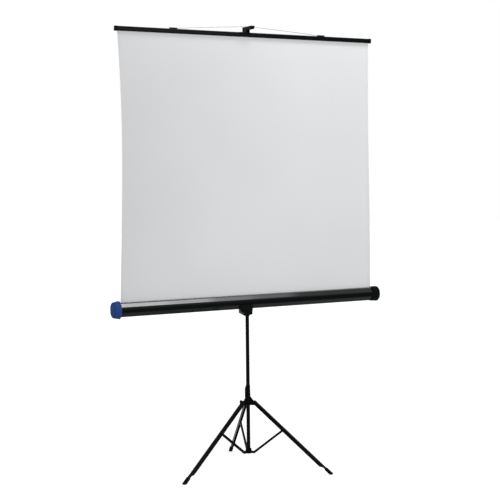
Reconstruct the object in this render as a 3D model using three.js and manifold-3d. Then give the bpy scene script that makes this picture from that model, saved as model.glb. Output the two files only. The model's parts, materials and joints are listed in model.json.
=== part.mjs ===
// A free-standing projector screen: a folding steel tripod, a telescopic mast, a case with a
// spring roller in it, and a cloth that is drawn up out of the case and hung from a hook by its bar.
// Millimetres. X runs along the bar, the cloth faces -Y, Z is up, and the floor is at Z = 0.
import * as THREE from "three";
import { mergeVertices } from "three/addons/utils/BufferGeometryUtils.js";
import Module from "manifold-3d";

const wasm = await Module();
wasm.setup();

// Clearances that several pieces share
const seatGap = 0.3;
const turnGap = 0.4;
const cutOverrun = 5;
const weldTolerance = 0.001;

// Facets round a full turn
const fineSides = 24;
const plainSides = 16;
const wireSides = 6;
const rivetSides = 12;
const cornerSteps = 4;

// Mast
const mastRadius = 12;
const mastWall = 1.5;
const mastTop = 1500;

// Linkage: equal arms between pivots on equal circles, so every angle follows the first
const pivotCircle = 38;
const collarPivotHeight = 116.2;
const linkLength = 254.85;
const spreadAngle = THREE.MathUtils.degToRad(38.357);
const rearLegBearing = THREE.MathUtils.degToRad(74.84);
const legCount = 3;
const pinRadius = 3;
const rivetHeadRadius = 5;
const rivetHeadHeight = 1.6;
const rivetSlack = 0.2;

// Leg: a steel channel, open towards the mast, that narrows to a tongue in its foot
const legWidth = 16;
const legDepth = 24;
const legWall = 1.6;
const hubPinDrop = 11;
const strutPinRise = 2.6;
const legTopOverhang = 13;
const legTopRound = 7;
const legEarRadius = 8;
const legTaperStart = 583;
const legTongueStart = 600;
const legTongueEnd = 652;
const legTongueDepth = 12;

// Foot: a rubber boot with a flat sole
const footStart = 618;
const footEnd = 675;
const footWidth = 21;
const footWall = 2.5;
const footRound = 3;

// Strut: a smaller channel whose round ends hold the pivots
const strutWidth = 12;
const strutDepth = 15;
const strutWall = 1.4;
const strutWebSetback = 15;

// Collar: a cup under the mast with three tongues
const collarRadius = 19;
const collarBelowPivot = 8;
const collarAbovePivot = 24;
const collarFloor = 3;
const collarEdge = 2;
const tongueRadius = 7.2;
const flangeRadius = 30;
const flangeBelowPivot = 5;
const flangeAbovePivot = 5;

// Hub: a sleeve that slides on the mast, with three lugs, a clamp rib and a lock screw
const hubBelowPivot = 10;
const hubShoulder = 26;
const hubBodyTop = 42;
const hubNeckTop = 121;
const hubBodyRadius = 20;
const hubNeckRadius = 16;
const hubEdge = 4;
const hubLipRadius = 13.8;
const lugRadius = 8;
const lugFootBelow = 8;
const lugFootAbove = 47;
const lugCrest = 19;
const ribReach = 20;
const ribWidth = 11;
const ribSlopeStart = 98;
const knobRise = 8;
const knobBossRadius = 9;
const knobBossReach = 40;

// Knobs: fluted moulded heads on a screw
const screwRadius = 3;
const knobRadius = 12.5;
const knobHeight = 14;
const knobCollarHeight = 4;
const knobCollarRadius = 8;
const fluteCount = 6;
const fluteRadius = 4.5;
const fluteSink = 2;

// Mast mouth: a bush over the open end, with the extension's lock screw
const bushRadius = 16;
const bushBelow = 30;
const bushAbove = 28;
const bushEdge = 2;
const bushKnobRise = 14;
const bushBossReach = 24;

// Extension tube and its guide plug
const extensionRadius = 9.5;
const extensionWall = 1.2;
const extensionOverlap = 120;
const plugRadius = 10.2;
const plugHeight = 22;
const plugSpigot = 20;

// Planes of the screen, in front of the mast
const caseBehind = 22;
const caseCentreHeight = 1105;
const barCentreHeight = 2796;

// Case: an eight-sided tube with a slot in its top
const caseLength = 1926;
const caseHeight = 88;
const caseDepth = 80;
const caseFacetRun = 29;
const caseFacetRise = 31;
const caseWall = 1.6;
const caseCornerRound = 8;
const slotWidth = 5;

// End caps of the case
const capHeightLeft = 109;
const capDepthLeft = 96;
const capLengthLeft = 46;
const capFlareLeft = 5;
const capTaperLeft = 6;
const capEdgeLeft = 9;
const capHeightRight = 99;
const capDepthRight = 88;
const capLengthRight = 60;
const capFlareRight = 38;
const capTaperRight = 0;
const capEdgeRight = 18;
const capEndWall = 5;
const capLipWall = 2.5;
const capCornerRound = 10;
const capCornerShare = 0.28;
const capBossRadius = 12;
const capBossLength = 16;

// Roller with its cloth, gudgeon, rod and spring
const rollerRadius = 16;
const rollerWall = 1.2;
const rollerEndGap = 22;
const rollThickness = 1.7;
const plugLength = 25;
const gudgeonRadius = 5;
const rodRadius = 4;
const rodReach = 420;
const springRadius = 10;
const springWall = 3;
const springLength = 300;
const springAnchorLength = 12;

// Cloth
const clothEndGap = 63;
const clothThickness = 0.8;
const clothWaist = 12;
const clothEdgeSteps = 16;

// Top bar
const barPastCloth = 16;
const barHeight = 29;
const barDepth = 24;
const barRound = 9;
const barWall = 1.6;
const barSlot = 4;
const barCapLength = 12;
const barCapProud = 1.3;
const barCapPlug = 14;
const hemRodRadius = 3.5;

// Bail: a wire from two clips on the bar over the hook
const bailHalfSpan = 530;
const bailWireRadius = 1.6;
const bailEndRun = 22;
const bailSteps = 40;
const bailSagShares = [
  [0.75, 0.25],
  [0.5, 0.51],
];
const clipLength = 50;
const clipWidth = 12;
const clipHeight = 7;
const clipRound = 2;
const stowClipLength = 60;
const stowClipOffset = 41;
const stowClipWall = 1.6;
const stowClipReach = 10;

// Hook: a socket on the extension with a channel arm that reaches over the bar
const hookAboveBar = 39.5;
const hookSocketRadius = 12;
const hookSocketHeight = 54;
const hookSocketCap = 12;
const hookWidth = 24;
const hookSheet = 3;
const hookBack = 4;
const hookReach = 116;
const hookCheekHeight = 42;
const hookNoseDrop = 10;
const hookBarGap = 20;
const hookBackGap = 5;
const hookNotchDepth = 3.4;

// Saddle: a clamp on the mast with a pivot pad for the case and a catch under its left half
const saddleBelowCase = 100;
const saddleHeight = 160;
const saddleRadius = 19;
const saddlePadWidth = 44;
const saddlePadHeight = 84;
const catchLeft = 112;
const catchLeftAtMast = 62;
const catchRight = 8;
const catchRightAtFront = 19;
const catchFrontRise = 18;
const catchWall = 4;
const catchDropLeft = 5;
const catchPocketWall = 4;
const saddleKnobDrop = 25;
const saddleBossReach = 28;
const backPlateWidth = 96;
const backPlateHeight = 34;
const backPlateThickness = 3;
const backPlateRound = 5;
const pivotBoltRadius = 5;
const pivotHeadRadius = 7;
const pivotHeadHeight = 4;

// Heights and planes worked out from the sizes above
const hubPivotHeight = collarPivotHeight + 2 * linkLength * Math.sin(spreadAngle);
const legTilt = Math.asin((hubPinDrop + strutPinRise) / linkLength);
const legAngle = spreadAngle + legTilt;
const legTopSide = hubPinDrop + legDepth / 2;
const legOpenSide = hubPinDrop - legDepth / 2;
const legInnerWidth = legWidth - 2 * legWall;
const strutInnerWidth = strutWidth - 2 * strutWall;
const caseBack = -(mastRadius + caseBehind);
const caseCentreDepth = caseBack - caseDepth / 2;
const rollRadius = rollerRadius + seatGap + rollThickness;
const clothDepth = caseCentreDepth + (caseDepth / 2 - caseFacetRun) / 2;
const rollerDepth = clothDepth - rollRadius - seatGap - clothThickness / 2;
const clothWidth = caseLength - 2 * clothEndGap;
const caseTop = caseCentreHeight + caseHeight / 2;
const caseBottom = caseCentreHeight - caseHeight / 2;
const barLength = clothWidth + 2 * barPastCloth;
const barTop = barCentreHeight + barHeight / 2;
const barBottom = barCentreHeight - barHeight / 2;
const hookTop = barTop + hookAboveBar;
const hookCheekBottom = hookTop - hookCheekHeight;
const saddleBottom = caseCentreHeight - saddleBelowCase;
const saddleKnobHeight = caseCentreHeight - saddleKnobDrop;
const bailApexHeight = hookTop - hookNotchDepth + bailWireRadius + seatGap;
const bailEyeHeight = barTop + clipHeight / 2;
const knobBearing = rearLegBearing + Math.PI / legCount;

// Finishes
const blackPaint = finish(0x101112, 0.34, 0.25);
const glossBlack = finish(0x0a0b0c, 0.12, 0.1);
const blackPlastic = finish(0x16181a, 0.5, 0);
const bluePlastic = finish(0x1f3667, 0.45, 0);
const rubber = finish(0x1a1a1b, 0.85, 0);
const brightSteel = finish(0xb9bcc0, 0.3, 0.9);
const whiteCloth = finish(0xe6e8e9, 0.9, 0);
const rollerTin = finish(0x9ea2a5, 0.45, 0.8);

function finish(color, roughness, metalness) {
  return new THREE.MeshStandardMaterial({ color, roughness, metalness });
}

// A closed geometry as a solid that can be joined and cut
function solid(geometry) {
  const bare = new THREE.BufferGeometry();
  bare.setAttribute("position", geometry.getAttribute("position"));
  if (geometry.index) bare.setIndex(geometry.index);
  const merged = mergeVertices(bare, weldTolerance);
  return new wasm.Manifold(
    new wasm.Mesh({
      numProp: 3,
      vertProperties: merged.attributes.position.array,
      triVerts: new Uint32Array(merged.index.array),
    }),
  );
}

// A solid back as a geometry
function skin(body) {
  const cut = body.getMesh();
  const geometry = new THREE.BufferGeometry();
  const points = new Float32Array(cut.numVert * 3);
  for (let i = 0; i < cut.numVert; i++) {
    points.set(cut.vertProperties.subarray(i * cut.numProp, i * cut.numProp + 3), i * 3);
  }
  geometry.setAttribute("position", new THREE.BufferAttribute(points, 3));
  geometry.setIndex(new THREE.BufferAttribute(new Uint32Array(cut.triVerts), 1));
  geometry.computeVertexNormals();
  return geometry;
}

function piece(name, body, material, parent) {
  const mesh = new THREE.Mesh(skin(body), material);
  mesh.name = name;
  parent.add(mesh);
  return mesh;
}

// A box between two corners
function block(x0, x1, y0, y1, z0, z1) {
  const box = new THREE.BoxGeometry(x1 - x0, y1 - y0, z1 - z0);
  box.translate((x0 + x1) / 2, (y0 + y1) / 2, (z0 + z1) / 2);
  return solid(box);
}

// A turned solid round Z, from the radius and height of each corner of its closed section
function turned(section, sides) {
  const points = section.map(([radius, height]) => new THREE.Vector2(radius, height));
  points.push(points[0].clone());
  return solid(new THREE.LatheGeometry(points, sides).rotateX(Math.PI / 2));
}

function roundBar(radius, z0, z1, sides = plainSides) {
  return turned([[0, z0], [radius, z0], [radius, z1], [0, z1]], sides);
}

function pipe(outer, inner, z0, z1, sides = fineSides) {
  return turned([[inner, z0], [outer, z0], [outer, z1], [inner, z1]], sides);
}

// Turns what was made round Z, to lie along X or along Y
function alongX(body) {
  return body.rotate([0, 90, 0]);
}

function alongY(body) {
  return body.rotate([-90, 0, 0]);
}

// An outline with its corners rounded by the same amount
function outline(corners, round) {
  const shape = new THREE.Shape();
  const count = corners.length;
  const toVector = ([a, b]) => new THREE.Vector2(a, b);
  for (let i = 0; i < count; i++) {
    const corner = toVector(corners[i]);
    const before = toVector(corners[(i + count - 1) % count]);
    const after = toVector(corners[(i + 1) % count]);
    const reachIn = Math.min(round, corner.distanceTo(before) / 2);
    const reachOut = Math.min(round, corner.distanceTo(after) / 2);
    const start = corner.clone().add(before.sub(corner).setLength(reachIn));
    const end = corner.clone().add(after.sub(corner).setLength(reachOut));
    if (i === 0) shape.moveTo(start.x, start.y);
    else shape.lineTo(start.x, start.y);
    if (round > 0) shape.quadraticCurveTo(corner.x, corner.y, end.x, end.y);
  }
  shape.closePath();
  return shape;
}

function extruded(shape, length) {
  return new THREE.ExtrudeGeometry(shape, {
    depth: length,
    bevelEnabled: false,
    curveSegments: cornerSteps,
  });
}

// A plate drawn in the XZ plane, with its thickness centred on Y = 0
function plateXZ(shape, thickness) {
  const geometry = extruded(shape, thickness);
  geometry.translate(0, 0, -thickness / 2);
  geometry.applyMatrix4(
    new THREE.Matrix4().makeBasis(
      new THREE.Vector3(1, 0, 0),
      new THREE.Vector3(0, 0, 1),
      new THREE.Vector3(0, -1, 0),
    ),
  );
  return solid(geometry);
}

// A profile drawn in the YZ plane, carried along X from x0 to x1
function profileYZ(shape, x0, x1) {
  const geometry = extruded(shape, x1 - x0);
  geometry.translate(0, 0, x0);
  geometry.applyMatrix4(
    new THREE.Matrix4().makeBasis(
      new THREE.Vector3(0, 1, 0),
      new THREE.Vector3(0, 0, 1),
      new THREE.Vector3(1, 0, 0),
    ),
  );
  return solid(geometry);
}

// Corners of the case's eight-sided section, shrunk or grown by an offset
function eightSides(depth, height, run, rise, y, z) {
  const a = depth / 2;
  const b = height / 2;
  return [
    [y - a, z - b + rise],
    [y - a + run, z - b],
    [y + a - run, z - b],
    [y + a, z - b + rise],
    [y + a, z + b - rise],
    [y + a - run, z + b],
    [y - a + run, z + b],
    [y - a, z + b - rise],
  ];
}

// A rivet along Y whose heads lie on the outside of a given span
function rivet(span, shoulderStart = 0, shoulderEnd = 0, shoulderRadius = pinRadius) {
  const half = span / 2 + rivetSlack;
  let body = alongY(roundBar(pinRadius, -half, half, rivetSides));
  for (const side of [-1, 1]) {
    const head = roundBar(rivetHeadRadius, half, half + rivetHeadHeight, rivetSides);
    body = body.add(alongY(side > 0 ? head : head.mirror([0, 0, 1])));
    if (shoulderEnd > shoulderStart) {
      const shoulder = roundBar(shoulderRadius, shoulderStart, shoulderEnd, rivetSides);
      body = body.add(alongY(side > 0 ? shoulder : shoulder.mirror([0, 0, 1])));
    }
  }
  return body;
}

// A round hole along Y at a point of the XZ plane
function holeY(x, z, radius, halfLength) {
  return alongY(roundBar(radius, -halfLength, halfLength)).translate([x, 0, z]);
}

// A fluted knob and its screw, along Z: the screw's tip is at screwTip, the head starts at headStart
function knobOnScrew(screwTip, headStart) {
  const collarEnd = headStart + knobCollarHeight;
  const headEnd = headStart + knobHeight;
  const edge = knobRadius / 8;
  let head = turned(
    [
      [0, collarEnd],
      [knobRadius, collarEnd],
      [knobRadius, headEnd - edge],
      [knobRadius - edge, headEnd],
      [0, headEnd],
    ],
    fineSides,
  );
  for (let i = 0; i < fluteCount; i++) {
    const angle = (2 * Math.PI * i) / fluteCount;
    const away = knobRadius + fluteSink;
    const flute = roundBar(fluteRadius, collarEnd - cutOverrun, headEnd + cutOverrun);
    head = head.subtract(flute.translate([away * Math.cos(angle), away * Math.sin(angle), 0]));
  }
  return head
    .add(roundBar(knobCollarRadius, headStart, collarEnd))
    .add(roundBar(screwRadius, screwTip, headStart + knobCollarHeight / 2));
}

const stand = new THREE.Group();

// Main tube
piece(
  "main_tube",
  pipe(
    mastRadius,
    mastRadius - mastWall,
    collarPivotHeight - collarBelowPivot + collarFloor + seatGap,
    mastTop,
  ),
  blackPaint,
  stand,
);

// Bearing of each leg, with the rear one first
function legBearing(index) {
  return rearLegBearing + (2 * Math.PI * index) / legCount;
}

// Collar under the mast: a cup and three tongues for the struts
function collarBody() {
  const low = collarPivotHeight - collarBelowPivot;
  const high = collarPivotHeight + collarAbovePivot;
  const cup = turned(
    [
      [0, low],
      [collarRadius - collarEdge, low],
      [collarRadius, low + collarEdge],
      [collarRadius, high - collarEdge],
      [collarRadius - collarEdge, high],
      [mastRadius + seatGap, high],
      [mastRadius + seatGap, low + collarFloor],
      [0, low + collarFloor],
    ],
    fineSides,
  );
  const flange = turned(
    [
      [mastRadius + seatGap, collarPivotHeight - flangeBelowPivot],
      [flangeRadius - collarEdge, collarPivotHeight - flangeBelowPivot],
      [flangeRadius, collarPivotHeight - flangeBelowPivot + collarEdge],
      [flangeRadius, collarPivotHeight + flangeAbovePivot - collarEdge],
      [flangeRadius - collarEdge, collarPivotHeight + flangeAbovePivot],
      [mastRadius + seatGap, collarPivotHeight + flangeAbovePivot],
    ],
    fineSides,
  );
  const inner = mastRadius + seatGap + collarEdge;
  const tongueShape = outline(
    [
      [inner, collarPivotHeight - tongueRadius],
      [pivotCircle, collarPivotHeight - tongueRadius],
      [pivotCircle, collarPivotHeight + tongueRadius],
      [inner, collarPivotHeight + tongueRadius],
    ],
    0,
  );
  const thickness = strutInnerWidth - 2 * seatGap;
  const tongue = plateXZ(tongueShape, thickness)
    .add(holeY(pivotCircle, collarPivotHeight, tongueRadius, thickness / 2))
    .subtract(holeY(pivotCircle, collarPivotHeight, pinRadius + turnGap, legWidth));
  let body = cup.add(flange);
  for (let i = 0; i < legCount; i++) {
    body = body.add(tongue.rotate([0, 0, THREE.MathUtils.radToDeg(legBearing(i))]));
  }
  return body;
}
piece("strut_collar", collarBody(), blackPlastic, stand);

// Hub: a sleeve with three lugs, a rib up its neck and a boss for the lock screw
function hubBody() {
  const z = hubPivotHeight;
  const bore = mastRadius + turnGap;
  let body = turned(
    [
      [bore, z - hubBelowPivot],
      [hubBodyRadius - hubEdge, z - hubBelowPivot],
      [hubBodyRadius, z - hubBelowPivot + hubEdge],
      [hubBodyRadius, z + hubShoulder],
      [hubNeckRadius, z + hubBodyTop],
      [hubLipRadius, z + hubNeckTop],
      [bore, z + hubNeckTop],
    ],
    fineSides,
  );
  const root = bore + hubLipRadius - mastRadius;
  const lugShape = outline(
    [
      [root, z - lugFootBelow],
      [pivotCircle, z - lugRadius],
      [pivotCircle + lugRadius, z],
      [pivotCircle, z + lugCrest],
      [root, z + lugFootAbove],
    ],
    0,
  );
  const thickness = legInnerWidth - 2 * seatGap;
  const lug = plateXZ(lugShape, thickness)
    .add(holeY(pivotCircle, z, lugRadius, thickness / 2))
    .subtract(holeY(pivotCircle, z, pinRadius + turnGap, legWidth));
  for (let i = 0; i < legCount; i++) {
    body = body.add(lug.rotate([0, 0, THREE.MathUtils.radToDeg(legBearing(i))]));
  }
  const ribShape = outline(
    [
      [root, z + hubShoulder],
      [ribReach, z + hubShoulder],
      [ribReach, z + ribSlopeStart],
      [root, z + hubNeckTop - hubEdge],
    ],
    0,
  );
  const boss = alongX(roundBar(knobBossRadius, root, knobBossReach)).translate([0, 0, z + knobRise]);
  const screwHole = alongX(roundBar(screwRadius + turnGap, 0, knobBossReach + cutOverrun));
  const knobSide = plateXZ(ribShape, ribWidth)
    .add(boss)
    .subtract(screwHole.translate([0, 0, z + knobRise]));
  body = body.subtract(
    screwHole.translate([0, 0, z + knobRise]).rotate([0, 0, THREE.MathUtils.radToDeg(knobBearing)]),
  );
  return body.add(knobSide.rotate([0, 0, THREE.MathUtils.radToDeg(knobBearing)]));
}
piece("leg_hub", hubBody(), blackPlastic, stand);

const hubKnobGroup = new THREE.Group();
hubKnobGroup.rotation.z = knobBearing;
hubKnobGroup.position.z = hubPivotHeight + knobRise;
piece(
  "hub_lock_knob",
  alongX(knobOnScrew(mastRadius + turnGap, knobBossReach + seatGap)),
  blackPlastic,
  hubKnobGroup,
);
stand.add(hubKnobGroup);

// Leg channel, drawn along X from the hub pin, with its web on top
function legBody() {
  const tongueSide = legTopSide - legTongueDepth;
  const sideShape = outline(
    [
      [-legTopOverhang, legOpenSide],
      [legTaperStart, legOpenSide],
      [legTongueStart, tongueSide],
      [legTongueEnd, tongueSide],
      [legTongueEnd, legTopSide],
      [-legTopOverhang, legTopSide],
    ],
    legTopRound,
  );
  const hollow = block(
    -legTopOverhang - cutOverrun,
    legTongueEnd + cutOverrun,
    -legInnerWidth / 2,
    legInnerWidth / 2,
    -legEarRadius - cutOverrun,
    legTopSide - legWall,
  );
  const strutPinAlong = linkLength * Math.cos(legTilt);
  const strutPinAcross = linkLength * Math.sin(legTilt);
  return plateXZ(sideShape, legWidth)
    .add(holeY(0, 0, legEarRadius, legWidth / 2))
    .subtract(hollow)
    .subtract(holeY(0, 0, pinRadius + turnGap, legWidth))
    .subtract(holeY(strutPinAlong, strutPinAcross, pinRadius + turnGap, legWidth));
}

// Foot, in the leg's own axes: its sole lies on the floor when the leg is spread
function footBody() {
  const low = legTopSide - legTongueDepth - footWall;
  const high = legTopSide + footWall;
  const floorAt = (along) =>
    (along * Math.sin(legAngle) - hubPivotHeight) / Math.cos(legAngle);
  const heel = (hubPivotHeight + low * Math.cos(legAngle)) / Math.sin(legAngle);
  const shape = new THREE.Shape();
  shape.moveTo(footStart + footRound, low);
  shape.lineTo(heel, low);
  shape.lineTo(footEnd, floorAt(footEnd));
  shape.lineTo(footEnd, high - footRound);
  shape.quadraticCurveTo(footEnd, high, footEnd - footRound, high);
  shape.lineTo(footStart + footRound, high);
  shape.quadraticCurveTo(footStart, high, footStart, high - footRound);
  shape.lineTo(footStart, low + footRound);
  shape.quadraticCurveTo(footStart, low, footStart + footRound, low);
  const pocket = block(
    footStart - cutOverrun,
    legTongueEnd + seatGap,
    -legWidth / 2 - seatGap,
    legWidth / 2 + seatGap,
    legTopSide - legTongueDepth - seatGap,
    legTopSide + seatGap,
  );
  return plateXZ(shape, footWidth).subtract(pocket);
}

// Strut channel, drawn along X from the collar pin
function strutBody() {
  const half = strutDepth / 2;
  const ends = holeY(0, 0, half, strutWidth / 2).add(holeY(linkLength, 0, half, strutWidth / 2));
  const bar = block(0, linkLength, -strutWidth / 2, strutWidth / 2, -half, half);
  const hollow = block(
    -strutDepth,
    linkLength + strutDepth,
    -strutInnerWidth / 2,
    strutInnerWidth / 2,
    -strutDepth,
    half - strutWall,
  );
  let body = bar.add(ends).subtract(hollow);
  for (const [x0, x1] of [
    [-strutDepth, strutWebSetback],
    [linkLength - strutWebSetback, linkLength + strutDepth],
  ]) {
    body = body.subtract(
      block(x0, x1, -strutInnerWidth / 2, strutInnerWidth / 2, -strutDepth, strutDepth),
    );
  }
  return body
    .subtract(holeY(0, 0, pinRadius + turnGap, strutWidth))
    .subtract(holeY(linkLength, 0, pinRadius + turnGap, strutWidth));
}

const legSolid = legBody();
const footSolid = footBody();
const strutSolid = strutBody();
for (let i = 0; i < legCount; i++) {
  const number = i + 1;
  const plane = new THREE.Group();
  plane.rotation.z = legBearing(i);
  stand.add(plane);

  const legAxes = new THREE.Group();
  legAxes.position.set(pivotCircle, 0, hubPivotHeight);
  legAxes.rotation.y = legAngle;
  plane.add(legAxes);
  piece("leg_" + number, legSolid, blackPaint, legAxes);
  piece("foot_" + number, footSolid, rubber, legAxes);
  piece("hub_pin_" + number, rivet(legWidth), blackPaint, legAxes);

  const strutPin = rivet(
    legWidth,
    strutWidth / 2 + seatGap,
    legInnerWidth / 2 - seatGap,
    rivetHeadRadius - seatGap,
  );
  const strutPinMesh = piece("strut_pin_" + number, strutPin, blackPaint, legAxes);
  strutPinMesh.position.set(
    linkLength * Math.cos(legTilt),
    0,
    linkLength * Math.sin(legTilt),
  );

  const strutAxes = new THREE.Group();
  strutAxes.position.set(pivotCircle, 0, collarPivotHeight);
  strutAxes.rotation.y = -spreadAngle;
  plane.add(strutAxes);
  piece("strut_" + number, strutSolid, blackPaint, strutAxes);
  piece("collar_pin_" + number, rivet(strutWidth), blackPaint, strutAxes);
}

// Bush over the mast's mouth
function bushBody() {
  const low = mastTop - bushBelow;
  const high = mastTop + bushAbove;
  const shell = turned(
    [
      [mastRadius + seatGap, low],
      [bushRadius, low],
      [bushRadius, high - bushEdge],
      [bushRadius - bushEdge, high],
      [extensionRadius + turnGap, high],
      [extensionRadius + turnGap, mastTop + seatGap],
      [mastRadius + seatGap, mastTop + seatGap],
    ],
    fineSides,
  );
  const boss = alongY(roundBar(knobBossRadius, mastRadius, bushBossReach));
  const hole = alongY(roundBar(screwRadius + turnGap, 0, bushBossReach + cutOverrun));
  const bossCut = roundBar(extensionRadius + turnGap, low, high + cutOverrun, fineSides);
  return shell
    .add(boss.translate([0, 0, mastTop + bushKnobRise]))
    .subtract(bossCut.subtract(roundBar(mastRadius + turnGap, low, mastTop, fineSides)))
    .subtract(hole.translate([0, 0, mastTop + bushKnobRise]));
}
piece("tube_top_bush", bushBody(), blackPlastic, stand);
const extensionKnob = piece(
  "extension_lock_knob",
  alongY(knobOnScrew(extensionRadius + turnGap, bushBossReach + seatGap)),
  blackPlastic,
  stand,
);
extensionKnob.position.z = mastTop + bushKnobRise;

// Extension tube, with a plug that guides its lower end in the mast
const extensionBottom = mastTop - extensionOverlap;
const extensionTop = hookTop - hookSocketCap;
piece(
  "extension_tube",
  pipe(extensionRadius, extensionRadius - extensionWall, extensionBottom, extensionTop),
  brightSteel,
  stand,
);
const plugBore = extensionRadius - extensionWall - seatGap;
piece(
  "extension_plug",
  turned(
    [
      [0, extensionBottom - plugHeight],
      [plugRadius, extensionBottom - plugHeight],
      [plugRadius, extensionBottom - seatGap],
      [plugBore, extensionBottom - seatGap],
      [plugBore, extensionBottom + plugSpigot],
      [0, extensionBottom + plugSpigot],
    ],
    fineSides,
  ),
  blackPlastic,
  stand,
);

// Hook: socket, top plate, two cheeks and a nose, notched for the wire
function hookBody() {
  const half = hookWidth / 2;
  const overBar = barTop + hookBarGap;
  const barBackEdge = clothDepth + barDepth / 2 + hookBackGap;
  const nose = -hookReach;
  const cheekShape = outline(
    [
      [hookBack, hookTop],
      [hookBack, hookCheekBottom],
      [barBackEdge, hookCheekBottom],
      [barBackEdge, overBar],
      [nose + hookNoseDrop, overBar],
      [nose, hookTop - hookNoseDrop],
      [nose, hookTop],
    ],
    hookSheet,
  );
  const whole = profileYZ(cheekShape, -half, half);
  const inner = block(
    -half + hookSheet,
    half - hookSheet,
    nose + hookSheet,
    hookBack + cutOverrun,
    hookCheekBottom - cutOverrun,
    hookTop - hookSheet,
  );
  const socket = turned(
    [
      [0, hookTop - hookSocketHeight],
      [hookSocketRadius, hookTop - hookSocketHeight],
      [hookSocketRadius, hookTop - hookSheet / 2],
      [0, hookTop - hookSheet / 2],
    ],
    fineSides,
  );
  const bore = roundBar(
    extensionRadius + seatGap,
    hookTop - hookSocketHeight - cutOverrun,
    extensionTop + seatGap,
    fineSides,
  );
  const notchRadius = bailWireRadius + seatGap;
  const notchFloor = hookTop - hookNotchDepth;
  const notchCut = alongX(roundBar(notchRadius, -hookWidth, hookWidth)).translate([
    0,
    clothDepth,
    notchFloor + notchRadius,
  ]);
  const notchMouth = block(
    -hookWidth,
    hookWidth,
    clothDepth - notchRadius,
    clothDepth + notchRadius,
    notchFloor + notchRadius,
    hookTop + cutOverrun,
  );
  return whole.subtract(inner).add(socket).subtract(bore).subtract(notchCut).subtract(notchMouth);
}
piece("hanger_hook", hookBody(), blackPaint, stand);

// Top bar: a rounded tube, slotted below, that grips the cloth's hem rod
function roundedSection(depth, height, round, y, z) {
  return outline(
    [
      [y - depth / 2, z - height / 2],
      [y + depth / 2, z - height / 2],
      [y + depth / 2, z + height / 2],
      [y - depth / 2, z + height / 2],
    ],
    round,
  );
}

function barSection(offset) {
  return roundedSection(
    barDepth + 2 * offset,
    barHeight + 2 * offset,
    barRound + offset,
    clothDepth,
    barCentreHeight,
  );
}

const barTubeHalf = barLength / 2 - barCapLength / 2;
piece(
  "top_bar",
  profileYZ(barSection(0), -barTubeHalf, barTubeHalf)
    .subtract(profileYZ(barSection(-barWall), -barLength, barLength))
    .subtract(
      block(
        -barLength,
        barLength,
        clothDepth - barSlot / 2,
        clothDepth + barSlot / 2,
        barBottom - cutOverrun,
        barCentreHeight - barHeight / 4,
      ),
    ),
  blackPaint,
  stand,
);

// Bar cap: a sleeve over the end of the bar and a plug in it
function barCapBody(side) {
  const outer = barLength / 2;
  const sleeve = profileYZ(barSection(barCapProud), outer - barCapLength, outer);
  const recess = profileYZ(barSection(seatGap), 0, barTubeHalf + seatGap);
  const plug = profileYZ(
    barSection(-barWall - seatGap),
    outer - barCapLength - barCapPlug,
    outer - barCapLength / 4,
  );
  const rodRoom = block(
    0,
    clothWidth / 2 + seatGap,
    clothDepth - barDepth / 2,
    clothDepth + barDepth / 2,
    barBottom,
    barTop,
  );
  const body = sleeve.subtract(recess).add(plug).subtract(rodRoom);
  return side < 0 ? body.mirror([1, 0, 0]) : body;
}
piece("bar_cap_left", barCapBody(-1), blackPlastic, stand);
piece("bar_cap_right", barCapBody(1), blackPlastic, stand);

// Hem rod, lying on the lips of the bar's slot, and the cloth that hangs from it
const hemRodHeight = barBottom + barWall + seatGap + hemRodRadius;
piece(
  "hem_rod",
  alongX(roundBar(hemRodRadius, -clothWidth / 2, clothWidth / 2)).translate([
    0,
    clothDepth,
    hemRodHeight,
  ]),
  rollerTin,
  stand,
);

// The cloth's edges draw in between the bar and the case
function clothBody() {
  const low = caseCentreHeight;
  const high = hemRodHeight - hemRodRadius - seatGap;
  const shape = new THREE.Shape();
  const edge = (side, step) => {
    const share = step / clothEdgeSteps;
    const half = clothWidth / 2 - clothWaist * Math.sin(Math.PI * share);
    return [side * half, low + (high - low) * share];
  };
  shape.moveTo(...edge(-1, 0));
  for (let i = 0; i <= clothEdgeSteps; i++) shape.lineTo(...edge(1, i));
  for (let i = clothEdgeSteps; i > 0; i--) shape.lineTo(...edge(-1, i));
  return plateXZ(shape, clothThickness).translate([0, clothDepth, 0]);
}
piece("screen_fabric", clothBody(), whiteCloth, stand);

// Bail: wire that leaves each clip level, climbs to the hook and lies flat in its notch
function bailBody() {
  const rest = hookWidth / 2;
  const nearHook = [
    [2 * rest, bailApexHeight - bailWireRadius / 2],
    [rest, bailApexHeight],
  ];
  const nearBar = bailSagShares.map(([spanShare, riseShare]) => [
    bailHalfSpan * spanShare,
    bailEyeHeight + (bailApexHeight - bailEyeHeight) * riseShare,
  ]);
  const rightHalf = [
    [bailHalfSpan + bailEndRun / 2, bailEyeHeight],
    [bailHalfSpan - bailEndRun, bailEyeHeight],
    ...nearBar,
    ...nearHook,
  ];
  const leftHalf = rightHalf.map(([x, z]) => [-x, z]);
  const points = [...leftHalf, ...rightHalf.reverse()].map(
    ([x, z]) => new THREE.Vector3(x, clothDepth, z),
  );
  const section = new THREE.Shape();
  for (let i = 0; i < wireSides; i++) {
    const angle = (2 * Math.PI * i) / wireSides;
    const x = bailWireRadius * Math.cos(angle);
    const y = bailWireRadius * Math.sin(angle);
    if (i === 0) section.moveTo(x, y);
    else section.lineTo(x, y);
  }
  section.closePath();
  const wire = new THREE.ExtrudeGeometry(section, {
    steps: bailSteps,
    extrudePath: new THREE.CatmullRomCurve3(points, false, "centripetal"),
  });
  return solid(wire);
}
piece("bail_wire", bailBody(), brightSteel, stand);

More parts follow.
